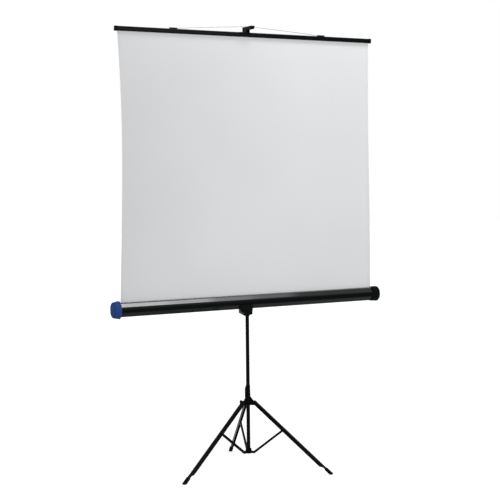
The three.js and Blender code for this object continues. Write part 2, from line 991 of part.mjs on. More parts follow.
// Clips on top of the bar that hold the bail's ends
function bailClipBody(centre) {
  const shape = outline(
    [
      [clothDepth - clipWidth / 2, barTop + seatGap],
      [clothDepth + clipWidth / 2, barTop + seatGap],
      [clothDepth + clipWidth / 2, barTop + clipHeight],
      [clothDepth - clipWidth / 2, barTop + clipHeight],
    ],
    clipRound,
  );
  const eye = alongX(roundBar(bailWireRadius + turnGap, -clipLength, clipLength));
  return profileYZ(shape, -clipLength / 2, clipLength / 2)
    .subtract(eye.translate([0, clothDepth, bailEyeHeight]))
    .translate([centre, 0, 0]);
}
piece("bail_clip_left", bailClipBody(-bailHalfSpan), blackPlastic, stand);
piece("bail_clip_right", bailClipBody(bailHalfSpan), blackPlastic, stand);

// Spring clip round the bar's top and front, which keeps the bail flat when the screen is stowed
function stowClipBody() {
  const outer = profileYZ(
    barSection(stowClipWall + seatGap),
    -stowClipOffset - stowClipLength / 2,
    -stowClipOffset + stowClipLength / 2,
  );
  const inner = profileYZ(barSection(seatGap), -barLength, barLength);
  const below = block(
    -barLength,
    barLength,
    clothDepth - barDepth,
    clothDepth + barDepth,
    barBottom - barHeight,
    barBottom + stowClipReach,
  );
  return outer.subtract(inner).subtract(below);
}
piece("stow_clip", stowClipBody(), blackPlastic, stand);

// Case: an eight-sided tube slotted along its top, with a hole in its back for the pivot bolt
function caseSection(offset) {
  return outline(
    eightSides(
      caseDepth + 2 * offset,
      caseHeight + 2 * offset,
      caseFacetRun,
      caseFacetRise,
      caseCentreDepth,
      caseCentreHeight,
    ),
    caseCornerRound,
  );
}
const caseLeftEnd = -caseLength / 2 + capEndWall + seatGap;
const caseRightEnd = caseLength / 2 - capEndWall - seatGap;
const boltHole = alongY(
  roundBar(pivotBoltRadius + turnGap, caseCentreDepth, 0),
).translate([0, 0, caseCentreHeight]);
piece(
  "case_tube",
  profileYZ(caseSection(0), caseLeftEnd, caseRightEnd)
    .subtract(profileYZ(caseSection(-caseWall), -caseLength, caseLength))
    .subtract(
      block(
        -caseLength,
        caseLength,
        clothDepth - slotWidth / 2,
        clothDepth + slotWidth / 2,
        caseTop - caseFacetRise,
        caseTop + cutOverrun,
      ),
    )
    .subtract(boltHole),
  glossBlack,
  stand,
);

// A solid between eight-sided rings along X, each ring given by its place and its inset
function lofted(rings, depth, height) {
  const corner = depth * capCornerShare;
  const points = [];
  let count = 0;
  for (const [x, inset] of rings) {
    const ring = outline(
      eightSides(
        depth - 2 * inset,
        height - 2 * inset,
        corner - inset / 2,
        corner - inset / 2,
        caseCentreDepth,
        caseCentreHeight,
      ),
      capCornerRound,
    ).getPoints(cornerSteps);
    ring.pop();
    count = ring.length;
    for (const p of ring) points.push(x, p.x, p.y);
  }
  const faces = [];
  for (let i = 0; i + 1 < rings.length; i++) {
    for (let j = 0; j < count; j++) {
      const a = i * count + j;
      const b = i * count + ((j + 1) % count);
      faces.push(a, b, a + count, b, b + count, a + count);
    }
  }
  const last = (rings.length - 1) * count;
  for (let j = 1; j + 1 < count; j++) {
    faces.push(0, j + 1, j);
    faces.push(last, last + j, last + j + 1);
  }
  const geometry = new THREE.BufferGeometry();
  geometry.setAttribute("position", new THREE.Float32BufferAttribute(points, 3));
  geometry.setIndex(faces);
  return solid(geometry);
}

// Case end cap: it flares out from the case, rounds over at its end and bears the roller's end
function capBody(height, depth, length, flare, taper, edge, boreRadius) {
  const outer = caseLength / 2;
  const inner = outer - length;
  const neckInset = (height - caseHeight) / 2 - seatGap - capLipWall;
  const rings = [
    [inner, neckInset],
    [inner + flare, 0],
    [outer - edge, taper],
  ];
  for (let i = 1; i <= cornerSteps; i++) {
    const turn = (Math.PI / 2) * (i / cornerSteps);
    rings.push([outer - edge + edge * Math.sin(turn), taper + edge * (1 - Math.cos(turn))]);
  }
  const boss = alongX(
    roundBar(capBossRadius, outer - capEndWall - capBossLength, outer - capEndWall / 2),
  );
  const bore = alongX(
    roundBar(boreRadius + seatGap, 0, outer - capEndWall / 2, fineSides),
  );
  return lofted(rings, depth, height)
    .subtract(profileYZ(caseSection(seatGap), 0, outer - capEndWall))
    .add(boss.translate([0, rollerDepth, caseCentreHeight]))
    .subtract(bore.translate([0, rollerDepth, caseCentreHeight]));
}
piece(
  "end_cap_left",
  capBody(
    capHeightLeft,
    capDepthLeft,
    capLengthLeft,
    capFlareLeft,
    capTaperLeft,
    capEdgeLeft,
    rodRadius,
  ).mirror([1, 0, 0]),
  bluePlastic,
  stand,
);
piece(
  "end_cap_right",
  capBody(
    capHeightRight,
    capDepthRight,
    capLengthRight,
    capFlareRight,
    capTaperRight,
    capEdgeRight,
    gudgeonRadius,
  ),
  blackPlastic,
  stand,
);

// Roller, its plugs, the turns of cloth left on it, and the fixed rod with the winding spring
const rollerAxis = new THREE.Group();
rollerAxis.position.set(0, rollerDepth, caseCentreHeight);
stand.add(rollerAxis);
const rollerEnd = caseLength / 2 - capEndWall - capBossLength - rollerEndGap;
const rollerBore = rollerRadius - rollerWall;
piece(
  "roller_tube",
  alongX(pipe(rollerRadius, rollerBore, -rollerEnd, rollerEnd)),
  rollerTin,
  rollerAxis,
);
piece(
  "fabric_roll",
  alongX(pipe(rollRadius, rollerRadius + seatGap, -clothWidth / 2, clothWidth / 2)),
  whiteCloth,
  rollerAxis,
);
piece(
  "roller_plug_left",
  alongX(pipe(rollerBore - seatGap, rodRadius + turnGap, -rollerEnd, -rollerEnd + plugLength)),
  blackPlastic,
  rollerAxis,
);
piece(
  "roller_plug_right",
  alongX(
    turned(
      [
        [0, rollerEnd - plugLength],
        [rollerBore - seatGap, rollerEnd - plugLength],
        [rollerBore - seatGap, rollerEnd],
        [gudgeonRadius, rollerEnd],
        [gudgeonRadius, caseLength / 2 - capEndWall],
        [0, caseLength / 2 - capEndWall],
      ],
      plainSides,
    ),
  ),
  blackPlastic,
  rollerAxis,
);
piece(
  "spring_rod",
  alongX(roundBar(rodRadius, -caseLength / 2 + capEndWall, -caseLength / 2 + rodReach)),
  brightSteel,
  rollerAxis,
);
const springStart = -rollerEnd + plugLength + seatGap;
const springEnd = springStart + springLength;
piece(
  "torsion_spring",
  alongX(
    pipe(springRadius, springRadius - springWall, springStart, springEnd).add(
      pipe(springRadius, rodRadius + seatGap, springEnd - springAnchorLength, springEnd),
    ),
  ),
  brightSteel,
  rollerAxis,
);

// Back plate on the case, and the bolt that the case pivots on
piece(
  "case_back_plate",
  plateXZ(
    outline(
      [
        [-backPlateWidth / 2, caseCentreHeight - backPlateHeight / 2],
        [backPlateWidth / 2, caseCentreHeight - backPlateHeight / 2],
        [backPlateWidth / 2, caseCentreHeight + backPlateHeight / 2],
        [-backPlateWidth / 2, caseCentreHeight + backPlateHeight / 2],
      ],
      backPlateRound,
    ),
    backPlateThickness,
  )
    .translate([0, caseBack + seatGap + backPlateThickness / 2, 0])
    .subtract(boltHole),
  brightSteel,
  stand,
);
const padFront = caseBack + 2 * seatGap + backPlateThickness;
const boltEnd = -(mastRadius + 2 * seatGap + mastWall);
piece(
  "case_pivot_bolt",
  alongY(
    turned(
      [
        [0, caseBack - caseWall - seatGap - pivotHeadHeight],
        [pivotHeadRadius, caseBack - caseWall - seatGap - pivotHeadHeight],
        [pivotHeadRadius, caseBack - caseWall - seatGap],
        [pivotBoltRadius, caseBack - caseWall - seatGap],
        [pivotBoltRadius, boltEnd],
        [0, boltEnd],
      ],
      plainSides,
    ),
  ).translate([0, 0, caseCentreHeight]),
  brightSteel,
  stand,
);

// Saddle: clamp sleeve, pivot pad, lock boss and the catch that the case's left half rests in
function saddleBody() {
  const top = saddleBottom + saddleHeight;
  const sleeve = turned(
    [
      [0, saddleBottom],
      [saddleRadius - hubEdge, saddleBottom],
      [saddleRadius, saddleBottom + 2 * hubEdge],
      [saddleRadius, top - hubEdge],
      [saddleRadius - hubEdge, top],
      [0, top],
    ],
    fineSides,
  );
  const pad = block(
    -saddlePadWidth / 2,
    saddlePadWidth / 2,
    padFront,
    0,
    caseCentreHeight - saddlePadHeight / 2,
    caseCentreHeight + saddlePadHeight / 2,
  );
  const boss = alongY(roundBar(knobBossRadius, 0, saddleBossReach));
  const screwHole = alongY(roundBar(screwRadius + turnGap, 0, saddleBossReach + cutOverrun));
  const a = caseDepth / 2;
  const under = caseBottom - seatGap;
  const catchShape = outline(
    [
      [caseCentreDepth - a - catchWall, caseBottom + caseFacetRise],
      [caseCentreDepth - a - catchWall, caseBottom + caseFacetRise - catchWall],
      [caseCentreDepth - a + caseFacetRun / 2, caseBottom - catchWall],
      [caseCentreDepth - a + caseFacetRun, saddleBottom + catchFrontRise],
      [0, saddleBottom],
      [0, under],
      [caseCentreDepth - a + caseFacetRun, under],
      [caseCentreDepth - a - seatGap, caseBottom + caseFacetRise - seatGap],
      [caseCentreDepth - a - seatGap, caseBottom + caseFacetRise],
    ],
    0,
  );
  const slope = plateXZ(
    outline(
      [
        [-catchLeft, caseCentreHeight],
        [-catchLeft, caseBottom - catchDropLeft],
        [-saddleRadius, saddleBottom],
        [0, saddleBottom],
        [0, caseCentreHeight],
      ],
      0,
    ),
    caseDepth * 4,
  );
  const pocket = block(
    -catchLeftAtMast + catchPocketWall,
    -saddleRadius,
    caseCentreDepth - a + caseFacetRun + catchPocketWall,
    -mastRadius,
    saddleBottom - cutOverrun,
    under - catchPocketWall,
  );
  const taper = extruded(
    outline(
      [
        [-catchLeft, caseCentreDepth - a - catchWall],
        [-catchRightAtFront, caseCentreDepth - a - catchWall],
        [-catchRight, caseCentreDepth - a + caseFacetRun],
        [-catchRight, 0],
        [-catchLeftAtMast, 0],
        [-catchLeft + catchWall, caseCentreDepth - a + catchWall],
      ],
      0,
    ),
    caseTop,
  );
  const catchBody = profileYZ(catchShape, -catchLeft, -catchRight)
    .intersect(slope)
    .intersect(solid(taper))
    .subtract(pocket);
  return sleeve
    .add(pad)
    .add(boss.translate([0, 0, saddleKnobHeight]))
    .add(catchBody)
    .subtract(roundBar(mastRadius + seatGap, 0, top + cutOverrun, fineSides))
    .subtract(screwHole.translate([0, 0, saddleKnobHeight]))
    .subtract(boltHole);
}
piece("saddle_bracket", saddleBody(), blackPlastic, stand);
const saddleKnob = piece(
  "saddle_lock_knob",
  alongY(knobOnScrew(mastRadius + turnGap, saddleBossReach + seatGap)),
  blackPlastic,
  stand,
);
saddleKnob.position.z = saddleKnobHeight;

// The part's origin is on the floor, under the middle of its bounding box
const part = new THREE.Group();
part.add(stand);
const extent = new THREE.Box3().setFromObject(stand, true);
stand.position.set(
  -(extent.min.x + extent.max.x) / 2,
  -(extent.min.y + extent.max.y) / 2,
  -extent.min.z,
);

export default part;
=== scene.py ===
import json
import math

import bmesh
import bpy
import numpy as np
from mathutils import Matrix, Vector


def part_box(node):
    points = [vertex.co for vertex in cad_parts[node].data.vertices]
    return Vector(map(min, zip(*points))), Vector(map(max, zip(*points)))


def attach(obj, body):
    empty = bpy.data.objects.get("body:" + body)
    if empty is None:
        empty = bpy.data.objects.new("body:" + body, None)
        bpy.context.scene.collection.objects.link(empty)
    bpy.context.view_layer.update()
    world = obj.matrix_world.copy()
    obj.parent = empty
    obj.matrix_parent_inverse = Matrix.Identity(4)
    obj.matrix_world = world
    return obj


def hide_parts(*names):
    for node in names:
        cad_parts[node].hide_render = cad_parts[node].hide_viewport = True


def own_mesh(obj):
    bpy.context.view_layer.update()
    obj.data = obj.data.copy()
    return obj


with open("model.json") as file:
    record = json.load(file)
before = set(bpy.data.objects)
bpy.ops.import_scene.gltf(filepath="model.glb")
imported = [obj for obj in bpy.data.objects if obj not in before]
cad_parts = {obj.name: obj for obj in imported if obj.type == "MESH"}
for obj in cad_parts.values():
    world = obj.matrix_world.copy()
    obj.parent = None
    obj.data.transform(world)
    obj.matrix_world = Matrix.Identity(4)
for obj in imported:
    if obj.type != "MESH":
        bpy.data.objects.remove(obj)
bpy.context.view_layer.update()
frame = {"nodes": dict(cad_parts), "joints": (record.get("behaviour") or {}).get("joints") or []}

# Main tube: a 24 mm steel tube, powder-coated satin black, that everything else is fixed to.
# The coat has a faint orange-peel skin and gathers a little dust towards the floor.


class Reading:
    """A socket in a node tree; +, - and * on it add Math nodes, so shader sums read as sums."""

    def __init__(self, nodes, socket):
        self.nodes = nodes
        self.socket = socket

    def sum(self, operation, left, right):
        return self.nodes.node("ShaderNodeMath", {"operation": operation}, {0: left, 1: right})

    def __add__(self, other):
        return self.sum("ADD", self, other)

    def __radd__(self, other):
        return self.sum("ADD", other, self)

    def __sub__(self, other):
        return self.sum("SUBTRACT", self, other)

    def __rsub__(self, other):
        return self.sum("SUBTRACT", other, self)

    def __mul__(self, other):
        return self.sum("MULTIPLY", self, other)

    def __rmul__(self, other):
        return self.sum("MULTIPLY", other, self)

    def band(self, low, high):
        """0 below low, 1 above high, and a smooth rise between them."""
        ends = {"From Min": low, "From Max": high}
        return self.nodes.node(
            "ShaderNodeMapRange", {"interpolation_type": "SMOOTHSTEP"}, {"Value": self, **ends}
        )

    def larger(self, other):
        return self.sum("MAXIMUM", self, other)


class Nodes:
    """The node tree of a material or of the world."""

    def __init__(self, tree):
        self.tree = tree

    def node(self, kind, settings, values, output=0):
        """Adds a node: its settings first, then a value or a reading for each named socket."""
        made = self.tree.nodes.new(kind)
        for name, value in settings.items():
            setattr(made, name, value)
        self.feed(made, values)
        return Reading(self, made.outputs[output])

    def feed(self, made, values):
        for name, value in values.items():
            if isinstance(value, Reading):
                self.tree.links.new(value.socket, made.inputs[name])
            else:
                made.inputs[name].default_value = value

    def shown(self):
        """1 for rays from the camera, off gloss or through glass, and 0 for those that light."""
        kinds = ("Is Camera Ray", "Is Glossy Ray", "Is Transmission Ray")
        seen, mirrored, refracted = [
            self.node("ShaderNodeLightPath", {}, {}, kind) for kind in kinds
        ]
        return seen.larger(mirrored).larger(refracted)


class Finish(Nodes):
    """A material with one Principled shader, and the nodes that feed it."""

    def __init__(self, name):
        self.material = bpy.data.materials.new(name)
        self.material.use_nodes = True
        super().__init__(self.material.node_tree)
        self.shader = self.tree.nodes["Principled BSDF"]
        self.place = self.node("ShaderNodeTexCoord", {}, {}, "Object")

    def set(self, **values):
        """Values or readings for the shader, with _ for each space in a socket's name."""
        self.feed(self.shader, {name.replace("_", " "): value for name, value in values.items()})

    def noise(self, scale, detail=2.0, roughness=0.5, stretch=(1, 1, 1)):
        """Soft random pattern from 0 to 1, with scale features to the metre."""
        place = self.node(
            "ShaderNodeMapping", {"vector_type": "POINT"}, {"Vector": self.place, "Scale": stretch}
        )
        return self.node(
            "ShaderNodeTexNoise",
            {},
            {"Vector": place, "Scale": scale, "Detail": detail, "Roughness": roughness},
        )

    def part_of(self, vector, axis):
        """The X, Y or Z of a vector."""
        return self.node("ShaderNodeSeparateXYZ", {}, {"Vector": vector}, axis)

    def height(self):
        """Height above the floor, in metres."""
        return self.part_of(self.place, "Z")

    def facing(self, axis):
        """The X, Y or Z of the surface's own normal."""
        return self.part_of(self.node("ShaderNodeNewGeometry", {}, {}, "Normal"), axis)

    def bands(self, axis, pitch):
        """Even waves along X or Z, one to each pitch in metres."""
        settings = {"wave_type": "BANDS", "bands_direction": axis}
        waves_per_scale = 20 / (2 * math.pi)
        values = {"Vector": self.place, "Scale": 1 / (waves_per_scale * pitch), "Distortion": 0.0}
        return self.node("ShaderNodeTexWave", settings, values)

    def blend(self, share, first, second):
        """The first colour where share is 0, the second where it is 1."""
        mix = self.tree.nodes.new("ShaderNodeMix")
        mix.data_type = "RGBA"
        colours = [socket for socket in mix.inputs if socket.type == "RGBA"]
        self.feed(mix, {"Factor": share})
        for socket, colour in zip(colours, (first, second)):
            if isinstance(colour, Reading):
                self.tree.links.new(colour.socket, socket)
            else:
                socket.default_value = (*colour, 1)
        result = [socket for socket in mix.outputs if socket.type == "RGBA"]
        return Reading(self, result[0])

    def round_edges(self, radius, samples=4):
        """Normals that turn softly over each edge, as a coat or a mould rounds it."""
        return self.node("ShaderNodeBevel", {"samples": samples}, {"Radius": radius}, "Normal")

    def worn_edges(self, radius):
        """0 on flats, up to 1 on sharp edges: how far the rounded normal leaves the true one."""
        geometry = self.node("ShaderNodeNewGeometry", {}, {}, "Normal")
        likeness = self.node(
            "ShaderNodeVectorMath",
            {"operation": "DOT_PRODUCT"},
            {0: self.round_edges(radius), 1: geometry},
            "Value",
        )
        on_an_edge, on_a_flat = 0.86, 0.985
        return 1 - likeness.band(on_an_edge, on_a_flat)

    def relief(self, height, distance, strength=1.0, normal=None):
        """Bumps of the given distance in metres, feeding the shader's normal."""
        values = {"Height": height, "Distance": distance, "Strength": strength}
        if normal is not None:
            values["Normal"] = normal
        self.set(Normal=self.node("ShaderNodeBump", {}, values))


def dress(finish, *nodes):
    """Gives the named CAD nodes their finish."""
    for name in nodes:
        slots = frame["nodes"][name].data.materials
        slots.clear()
        slots.append(finish.material)


coat_black = (0.0022, 0.003, 0.0032)
coat_dust = (0.03, 0.029, 0.027)
coat_rubbed = (0.012, 0.0125, 0.013)
coat_gloss = 0.03
coat_dullness = 0.17
coat_patchiness = 0.1
dust_height = 0.22
dust_share = 0.35
dust_dullness = 0.3
coat_wear_radius = 0.0012
coat_wear_share = 0.6
coat_edge = 0.0015
coat_grain = 0.00006

powder_coat = Finish("black_paint")
coat_patches = powder_coat.noise(scale=9, detail=3)
near_floor = 1 - powder_coat.height().band(0.0, dust_height)
dust = powder_coat.noise(scale=60, detail=4, roughness=0.7) * near_floor * dust_share
rub_marks = powder_coat.noise(scale=45, detail=3).band(low=0.42, high=0.62)
rubbed = powder_coat.worn_edges(coat_wear_radius) * rub_marks * coat_wear_share
coat = powder_coat.blend(dust, coat_black, coat_dust)
powder_coat.set(
    Base_Color=powder_coat.blend(rubbed, coat, coat_rubbed),
    Roughness=coat_dullness + coat_patches * coat_patchiness + dust * dust_dullness,
    Specular_IOR_Level=coat_gloss,
)
orange_peel = powder_coat.noise(scale=1400)
powder_coat.relief(
    orange_peel, coat_grain, strength=0.6, normal=powder_coat.round_edges(coat_edge)
)
dress(powder_coat, "main_tube", "hanger_hook", "top_bar")

# Collar, hub and bush: black glass-filled nylon, with the fine grain of a spark-eroded mould.
# The collar caps the tube's foot, the hub slides on the tube, and the bush clamps the extension.
nylon_black = (0.0022, 0.003, 0.0032)
nylon_scuff = (0.012, 0.0125, 0.0125)
nylon_gloss = 0.025
nylon_dullness = 0.44
nylon_patchiness = 0.14
nylon_wear_radius = 0.0015
nylon_wear_share = 0.7
nylon_edge = 0.0018
nylon_grain = 0.00008

nylon = Finish("black_plastic")
scuff_marks = nylon.noise(scale=70, detail=3).band(low=0.4, high=0.65)
scuffs = nylon.worn_edges(nylon_wear_radius) * scuff_marks * nylon_wear_share
nylon.set(
    Base_Color=nylon.blend(scuffs, nylon_black, nylon_scuff),
    Roughness=nylon_dullness + nylon.noise(scale=14, detail=3) * nylon_patchiness,
    Specular_IOR_Level=nylon_gloss,
)
spark_grain = nylon.noise(scale=2600, detail=3, roughness=0.6)
nylon.relief(spark_grain, nylon_grain, strength=0.7, normal=nylon.round_edges(nylon_edge))
dress(nylon, "strut_collar", "leg_hub", "tube_top_bush", "extension_plug")

# Legs and struts: folded steel channels, open towards the mast, powder-coated like the tube.
# Each leg ends in a narrower tongue for its boot.
tripod_sides = ("1", "2", "3")
for side in tripod_sides:
    dress(powder_coat, "leg_" + side, "strut_" + side)

# Rivets: steel, with a domed head on each side of the channel that they join, coated with the legs.
# They are set before the coat goes on, so they take the same black.
for side in tripod_sides:
    dress(powder_coat, "hub_pin_" + side, "strut_pin_" + side, "collar_pin_" + side)

# Boots: moulded black rubber, pushed over the ends of the legs, with a flat sole.
# The rubber is dull, a little grey where it meets the floor, and pressed with fine ribs.
rubber_black = (0.0045, 0.0046, 0.0048)
rubber_grey = (0.045, 0.043, 0.04)
rubber_gloss = 0.03
rubber_dullness = 0.66
rubber_patchiness = 0.2
rib_pitch = 0.004
rib_depth = 0.0003
rubber_grain_share = 0.2
dirt_height = 0.014
rubber_edge = 0.002

rubber = Finish("rubber")
near_sole = 1 - rubber.height().band(0.0, dirt_height)
sole_dirt = near_sole * rubber.noise(scale=160, detail=4, roughness=0.7)
ribs = rubber.bands("Z", rib_pitch)
rubber.set(
    Base_Color=rubber.blend(sole_dirt, rubber_black, rubber_grey),
    Roughness=rubber_dullness + rubber.noise(scale=90, detail=3) * rubber_patchiness,
    Specular_IOR_Level=rubber_gloss,
)
ribbed = ribs + rubber.noise(scale=1800) * rubber_grain_share
rubber.relief(ribbed, rib_depth, strength=0.5, normal=rubber.round_edges(rubber_edge))
for side in tripod_sides:
    dress(rubber, "foot_" + side)

# Lock knobs: fluted nylon heads moulded on steel screws, in the hub, the bush and the saddle.
# The CAD pieces have the real flutes, so they only take the nylon's finish.
dress(nylon, "hub_lock_knob", "extension_lock_knob", "saddle_lock_knob")

# Extension tube: bright zinc-plated steel, drawn up out of the main tube and capped by the hook.
# It is turned here as a true round tube, open at both ends, with a chamfer at its top.


def mesh_of(name, points, faces):
    """An object at the origin from an array of points and an array of four-cornered faces."""
    mesh = bpy.data.meshes.new(name)
    mesh.from_pydata(points.reshape(-1, 3).tolist(), [], faces.tolist())
    mesh.update()
    made = bpy.data.objects.new(name, mesh)
    bpy.context.scene.collection.objects.link(made)
    return made


def grid_faces(rows, columns, rows_meet=False, columns_meet=False):
    """The quads of a grid of points; a direction that meets itself gets one more strip."""
    row = np.arange(rows if rows_meet else rows - 1)[:, None]
    column = np.arange(columns if columns_meet else columns - 1)[None, :]
    near, far = row * columns, (row + 1) % rows * columns
    left, right = column, (column + 1) % columns
    return np.stack([near + left, near + right, far + right, far + left], -1).reshape(-1, 4)


def turned(name, profile, sides, centre, axis="Z"):
    """Each (radius, height) of a closed profile is carried round a circle about the centre."""
    profile = np.array(profile, float)
    angle = np.linspace(0, 2 * np.pi, sides, endpoint=False)
    radius, height = profile[:, :1], np.repeat(profile[:, 1:], sides, 1)
    across, along = radius * np.cos(angle), radius * np.sin(angle)
    points = np.stack([across, along, height], -1)
    if axis == "X":
        points = np.stack([height, across, along], -1)
    return mesh_of(name, points + np.array(centre), grid_faces(len(profile), sides, True, True))


weld_distance = 1e-6


def smooth_outward(made, angle=40):
    """Merges doubles, turns the normals out, and shades smooth except over sharp corners."""
    shell = bmesh.new()
    shell.from_mesh(made.data)
    bmesh.ops.remove_doubles(shell, verts=shell.verts, dist=weld_distance)
    bmesh.ops.recalc_face_normals(shell, faces=shell.faces)
    shell.to_mesh(made.data)
    shell.free()
    made.data.shade_smooth()
    made.data.set_sharp_from_angle(angle=math.radians(angle))
    return made


def dressed(made, finish, body, slot_name, *stood_for):
    """Gives a new piece its finish, the body it rides on, and the CAD nodes it stands for."""
    made.data.materials.append(finish.material)
    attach(made, body)
    if stood_for:
        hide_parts(*stood_for)
    return made


def middle_of(low, high):
    return tuple((a + b) / 2 for a, b in zip(low, high))


zinc_light = (0.62, 0.63, 0.65)
zinc_dark = (0.54, 0.55, 0.57)
zinc_dullness = 0.24
zinc_patchiness = 0.16
zinc_edge = 0.0008
drawing_grain = 0.00003

zinc = Finish("bright_steel")
zinc_stains = zinc.noise(scale=38, detail=3).band(low=0.35, high=0.7)
zinc.set(
    Base_Color=zinc.blend(zinc_stains, zinc_light, zinc_dark),
    Metallic=1.0,
    Roughness=zinc_dullness + zinc.noise(scale=120) * zinc_patchiness,
)
drawn = zinc.noise(scale=300, stretch=(1, 1, 14))
zinc.relief(drawn, drawing_grain, strength=0.5, normal=zinc.round_edges(zinc_edge))

extension_low, extension_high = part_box("extension_tube")
extension_middle = middle_of(extension_low, extension_high)
extension_radius = (extension_high.x - extension_low.x) / 2
extension_wall = 0.0012
extension_half = (extension_high.z - extension_low.z) / 2
extension_chamfer = 0.001
tube_sides = 64
extension_bore = extension_radius - extension_wall
extension_profile = [
    (extension_bore, -extension_half),
    (extension_radius, -extension_half),
    (extension_radius, extension_half - extension_chamfer),
    (extension_radius - extension_chamfer, extension_half),
    (extension_bore, extension_half),
]
extension = smooth_outward(
    turned("extension_tube_round", extension_profile, tube_sides, extension_middle)
)
dressed(extension, zinc, "extension", "bright_steel", "extension_tube")

# Top bar: a black powder-coated steel tube with a slot below for the cloth's hem, capped at its
# ends. The caps are nylon plugs; the clips for the bail and the stowing clip are nylon as well.
dress(nylon, "bar_cap_left", "bar_cap_right", "bail_clip_left", "bail_clip_right", "stow_clip")

# Bail: spring-steel wire from clip to clip over the bar, whose middle rests in the hook's notch.
# The wire is thin and dull grey, with a slight drawing grain along it.
wire_light = (0.16, 0.165, 0.17)
wire_dark = (0.1, 0.1, 0.105)
wire_dullness = 0.3
wire_patchiness = 0.15
wire_edge = 0.001

wire = Finish("bail_wire_steel")
wire_stains = wire.noise(scale=30, detail=3).band(low=0.4, high=0.7)
wire.set(
    Base_Color=wire.blend(wire_stains, wire_light, wire_dark),
    Metallic=1.0,
    Roughness=wire_dullness + wire.noise(scale=80) * wire_patchiness,
)
wire_drawn = wire.noise(scale=900, stretch=(0.1, 1, 1))
wire.relief(wire_drawn, drawing_grain, strength=0.5, normal=wire.round_edges(wire_edge))
dress(wire, "bail_wire")

# Cloth: white coated screen fabric, 1.8 m wide, from the hem rod in the bar down to the roller.
# It hangs taut, so its sides draw in below the bar, and it bows a centimetre to the right; its
# face has a fine matt weave.
cloth_white = (0.71, 0.715, 0.725)
cloth_shade = (0.62, 0.625, 0.635)
cloth_back = (0.42, 0.425, 0.43)
cloth_gloss = 0.2
cloth_dullness = 0.86
cloth_patchiness = 0.1
cloth_shading = 0.5
cloth_thread = 0.0011
thread_depth = 0.00005
selvage_inner, selvage_outer = 0.0198, 0.0126
selvage_shading = 0.35
back_shading = 0.45

cloth_low, cloth_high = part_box("screen_fabric")
cloth_width = cloth_high.x - cloth_low.x
cloth_height = cloth_high.z - cloth_low.z
cloth_plane = (cloth_low.y + cloth_high.y) / 2
cloth_thickness = 0.0006
cloth_waist, waist_power = 0.0115, 1.6
cloth_flare, flare_power = 0.0085, 2
cloth_bow = 0.0115
cloth_ripple = 0.0008
edge_curl, curl_power = 0.0022, 14
cloth_columns, cloth_rows = 181, 161

# Each wave in the cloth's depth: its share, its turns across and up in radians, and its start.
cloth_waves = [
    (1.0, 5.1, 1.3, 0.0),
    (0.6, 11.7, -2.2, 1.0),
    (0.5, 2.0, 7.0, -np.pi / 2),
]


def slab(front, thickness):
    """A closed sheet: the front grid, the same grid moved back, and four rims that join them."""
    rows, columns = front.shape[:2]
    back = front + np.array([0, thickness, 0])
    points = np.stack([front, back]).reshape(-1, 3)
    face = grid_faces(rows, columns)
    count = rows * columns
    top = np.arange(columns)
    side = np.arange(rows) * columns
    loop = np.concatenate(
        [top, side[1:] + columns - 1, (count - columns) + top[::-1][1:], side[::-1][1:-1]]
    )
    ahead = np.roll(loop, -1)
    rim = np.stack([loop, loop + count, ahead + count, ahead], -1)
    return points, np.concatenate([face, face[:, ::-1] + count, rim])


def hung_cloth(width, height):
    """The cloth's front, by its share across, -1 to 1, and its rise from the roller, 0 to 1.

    Its sides are drawn in most at about two thirds of the rise, and flare out at the roller. Its
    middle bows aside by half a sine over the rise. Its depth is the sum of the slow waves, which
    grow and die with the same half sine, and a high power of the share across curls its sides back.
    """
    across = np.linspace(-1, 1, cloth_columns)[None, :]
    rise = np.linspace(0, 1, cloth_rows)[:, None]
    swell = np.sin(np.pi * rise)
    waist = cloth_waist * np.sin(np.pi * rise**waist_power)
    flare = cloth_flare * (1 - rise) ** flare_power
    x = across * (width / 2 - waist + flare) + cloth_bow * swell
    z = rise * height + 0 * across
    waves = sum(
        share * np.cos(turns_across * across + turns_up * rise + start)
        for share, turns_across, turns_up, start in cloth_waves
    )
    curl = edge_curl * np.abs(across) ** curl_power * swell
    y = cloth_ripple * swell * waves + curl
    return np.stack([x, y, z], -1)


cloth_foot = np.array([0, cloth_plane - cloth_thickness / 2, cloth_low.z])
cloth_front = cloth_foot + hung_cloth(cloth_width, cloth_height)
cloth_points, cloth_faces = slab(cloth_front, cloth_thickness)
screen = smooth_outward(mesh_of("screen_cloth", cloth_points, cloth_faces), angle=50)

screen_fabric = Finish("white_cloth")
warp = screen_fabric.bands("X", cloth_thread)
weft = screen_fabric.bands("Z", cloth_thread)
cloth_patches = screen_fabric.noise(scale=0.9).band(low=0.25, high=0.75) * cloth_shading
side_place = screen_fabric.part_of(screen_fabric.place, "X")
from_middle = screen_fabric.node("ShaderNodeMath", {"operation": "ABSOLUTE"}, {0: side_place})
selvage_start = cloth_width / 2 - selvage_inner
selvage_full = cloth_width / 2 - selvage_outer
selvage = from_middle.band(selvage_start, selvage_full) * selvage_shading
back_share = screen_fabric.facing("Y").band(low=-0.1, high=0.3) * back_shading
tone = screen_fabric.blend(cloth_patches, cloth_white, cloth_shade)
tone = screen_fabric.blend(selvage, tone, cloth_shade)
screen_fabric.set(
    Base_Color=screen_fabric.blend(back_share, tone, cloth_back),
    Roughness=cloth_dullness + screen_fabric.noise(scale=30) * cloth_patchiness,
    Specular_IOR_Level=cloth_gloss,
)
screen_fabric.relief(warp * 0.5 + weft * 0.5, thread_depth, strength=0.35)
dressed(screen, screen_fabric, "mast", "white_cloth", "screen_fabric")
slide = next(joint for joint in frame["joints"] if joint["name"] == "extension_slide")
slide_reach = max(abs(end) for end in slide["range_m"])
(cloth_height - slide_reach) / cloth_height
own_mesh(screen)

# Hem rod: a plain rolled steel rod in the cloth's hem, which the bar's slot holds.
# It is hidden in the bar, inside the loop of cloth that the hem makes round it.
tin_light = (0.42, 0.43, 0.44)
tin_dark = (0.3, 0.3, 0.31)
tin_dullness = 0.34
